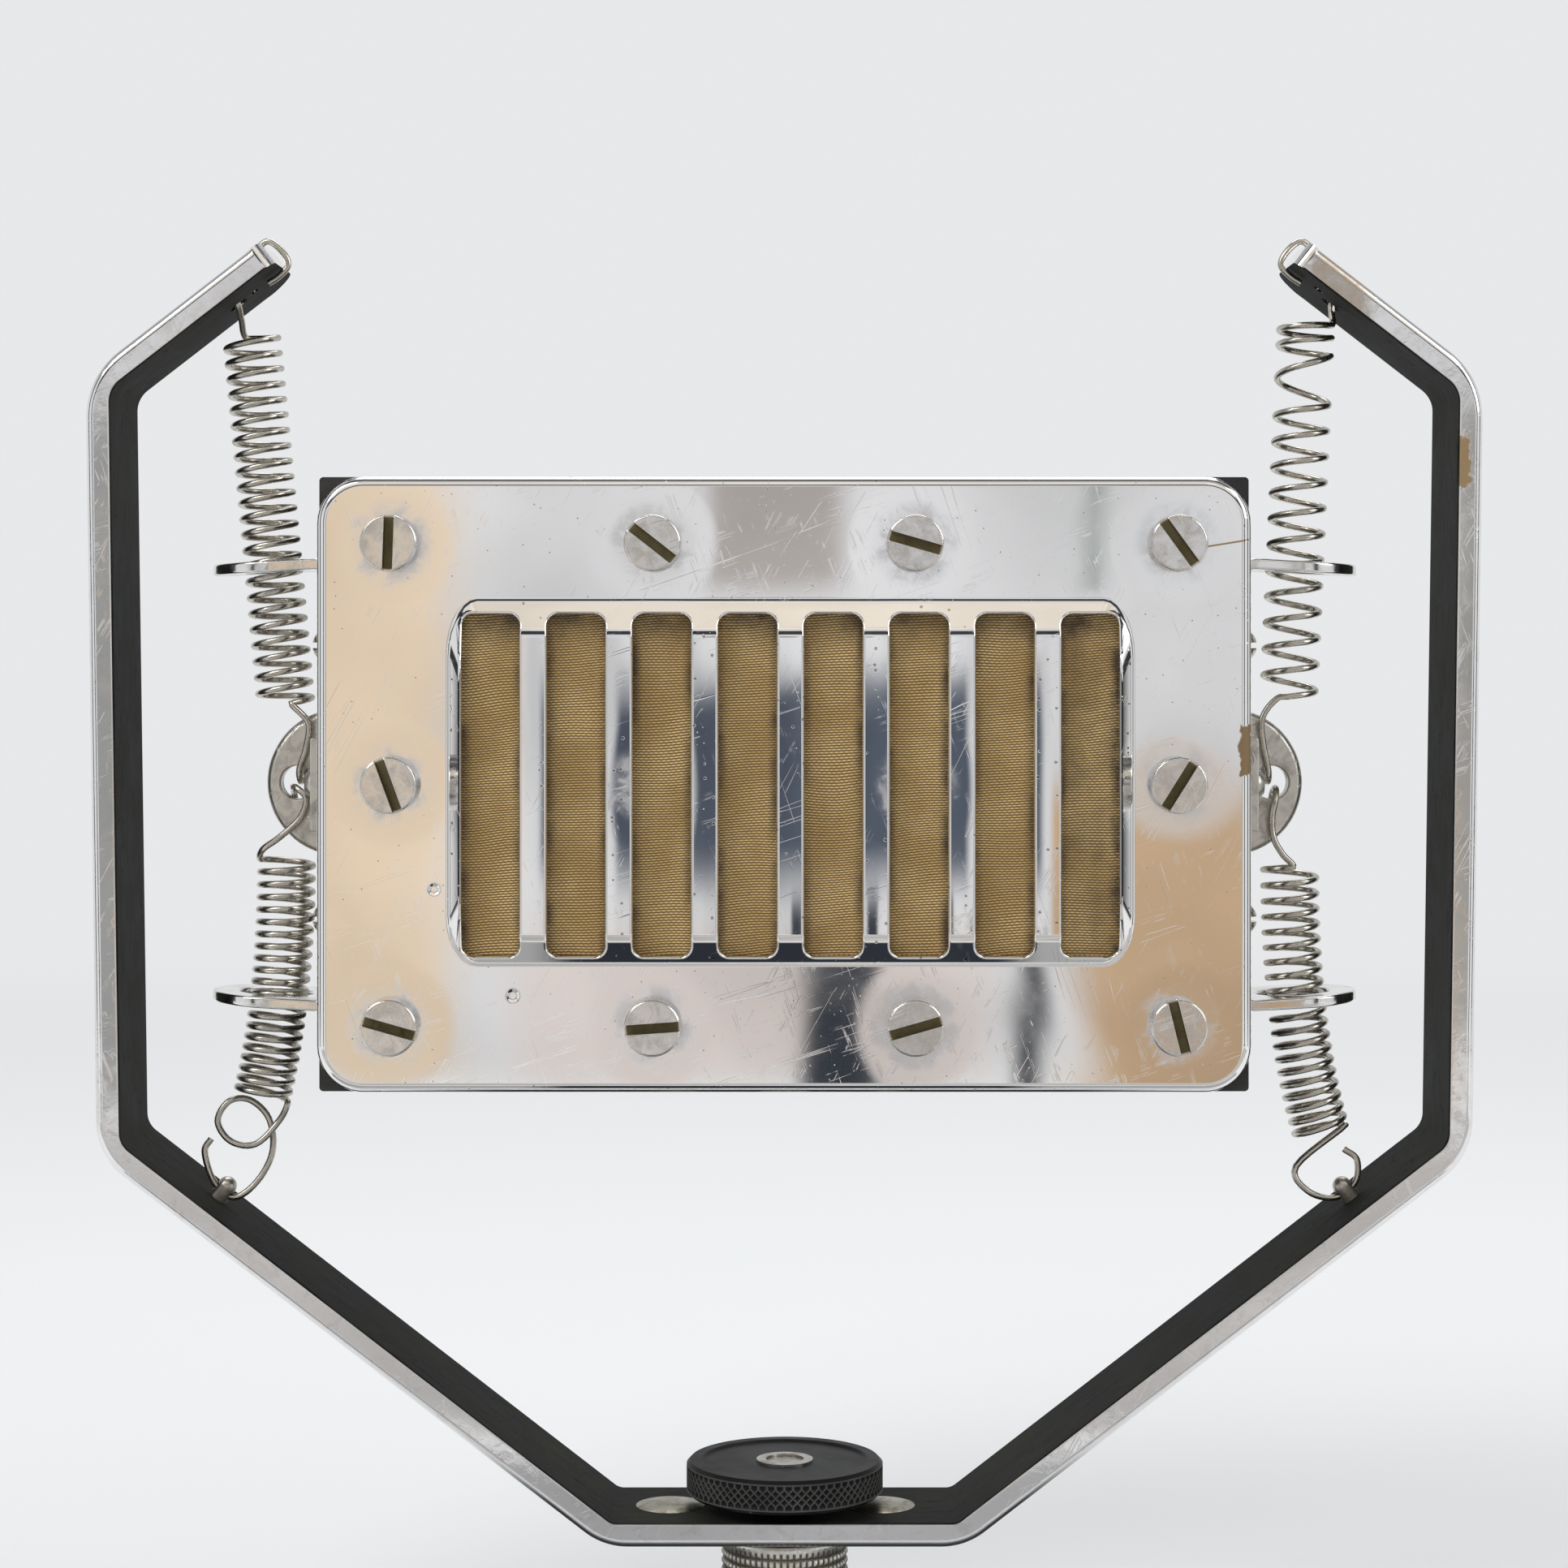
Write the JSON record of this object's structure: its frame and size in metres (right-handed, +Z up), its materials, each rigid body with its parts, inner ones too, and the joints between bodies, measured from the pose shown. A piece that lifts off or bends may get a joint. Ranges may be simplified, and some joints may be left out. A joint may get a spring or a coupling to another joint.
{
  "type": "spring-hung microphone",
  "caption": "Early radio microphone: a black block with a raised slotted chrome face, hung by coil springs in a bent chrome strip frame on a threaded stand adapter.",
  "frame": {"origin": "mouth of the adapter's tapped bore, at the part's base, on the stand's axis", "axes": "+Z up along the stand's axis, -Y out of the microphone's face, +X to the right seen from the front"},
  "size_m": [0.1774, 0.0587, 0.185],
  "materials": {
    "pale_nickel": "knurled, dull nickel",
    "brushed_steel_pin": "plain steel",
    "black_ebonite": "black hard rubber, soft gloss",
    "dull_nickel": "worn nickel",
    "worn_chrome": "polished chrome, worn at the edges",
    "spring_wire": "drawn steel wire, slightly dull",
    "bright_chrome": "polished chrome",
    "screw_nickel": "turned, nickel plated",
    "gold_cloth": "ribbed silk cloth, sooty at its edges",
    "membrane_sheet": "thin stretched sheet",
    "carbon": "carbon",
    "brass": "lacquered brass"
  },
  "bodies": {
    "stand": {"stand_adapter": "pale_nickel", "clamp_stud": "brushed_steel_pin"},
    "knob": {"thumb_knob": "black_ebonite", "knob_bush": "dull_nickel"},
    "frame": {"suspension_frame": "worn_chrome", "frame_rivets": "dull_nickel", "eye_stud_left": "dull_nickel", "eye_stud_right": "dull_nickel", "spring_top_left": "spring_wire", "spring_top_right": "spring_wire", "spring_bottom_left": "spring_wire", "spring_bottom_right": "spring_wire"},
    "head": {"grille_plate": "bright_chrome", "grille_screws": "screw_nickel", "grille_cloth": "gold_cloth", "spacer_frame": "black_ebonite", "membrane": "membrane_sheet", "microphone_block": "black_ebonite", "carbon_granules": "carbon", "electrode_left": "carbon", "electrode_right": "carbon", "terminal_stud_left": "brass", "terminal_stud_right": "brass", "terminal_washers": "brass", "terminal_lock_nuts": "brass", "side_bracket_left": "bright_chrome", "side_bracket_right": "bright_chrome", "bracket_screws": "screw_nickel", "spring_lug_left": "dull_nickel", "spring_lug_right": "dull_nickel", "lug_rivets": "dull_nickel"},
    "nut_left": {"thumb_nut_left": "brass"},
    "nut_right": {"thumb_nut_right": "brass"}
  },
  "joints": [
    {"name": "frame_swivel", "type": "hinge", "parent": "stand", "child": "frame", "pos_m": [0, 0, 0.018], "axis": [0, 0, 1], "continuous": true},
    {"name": "knob_turn", "type": "hinge", "parent": "stand", "child": "knob", "pos_m": [0, 0, 0.025], "axis": [0, 0, 1], "continuous": true},
    {"name": "head_bounce", "type": "slide", "parent": "frame", "child": "head", "axis": [0, 0, 1], "range_m": [-0.004, 0.004], "stiffness_N_per_m": 3500, "springref_m": 0.00156, "deforming": ["spring_top_left", "spring_top_right", "spring_bottom_left", "spring_bottom_right"]},
    {"name": "nut_left_turn", "type": "hinge", "parent": "head", "child": "nut_left", "pos_m": [-0.038, 0.025, 0.11545], "axis": [0, 1, 0], "continuous": true},
    {"name": "nut_right_turn", "type": "hinge", "parent": "head", "child": "nut_right", "pos_m": [0.038, 0.025, 0.11545], "axis": [0, 1, 0], "continuous": true}
  ]
}
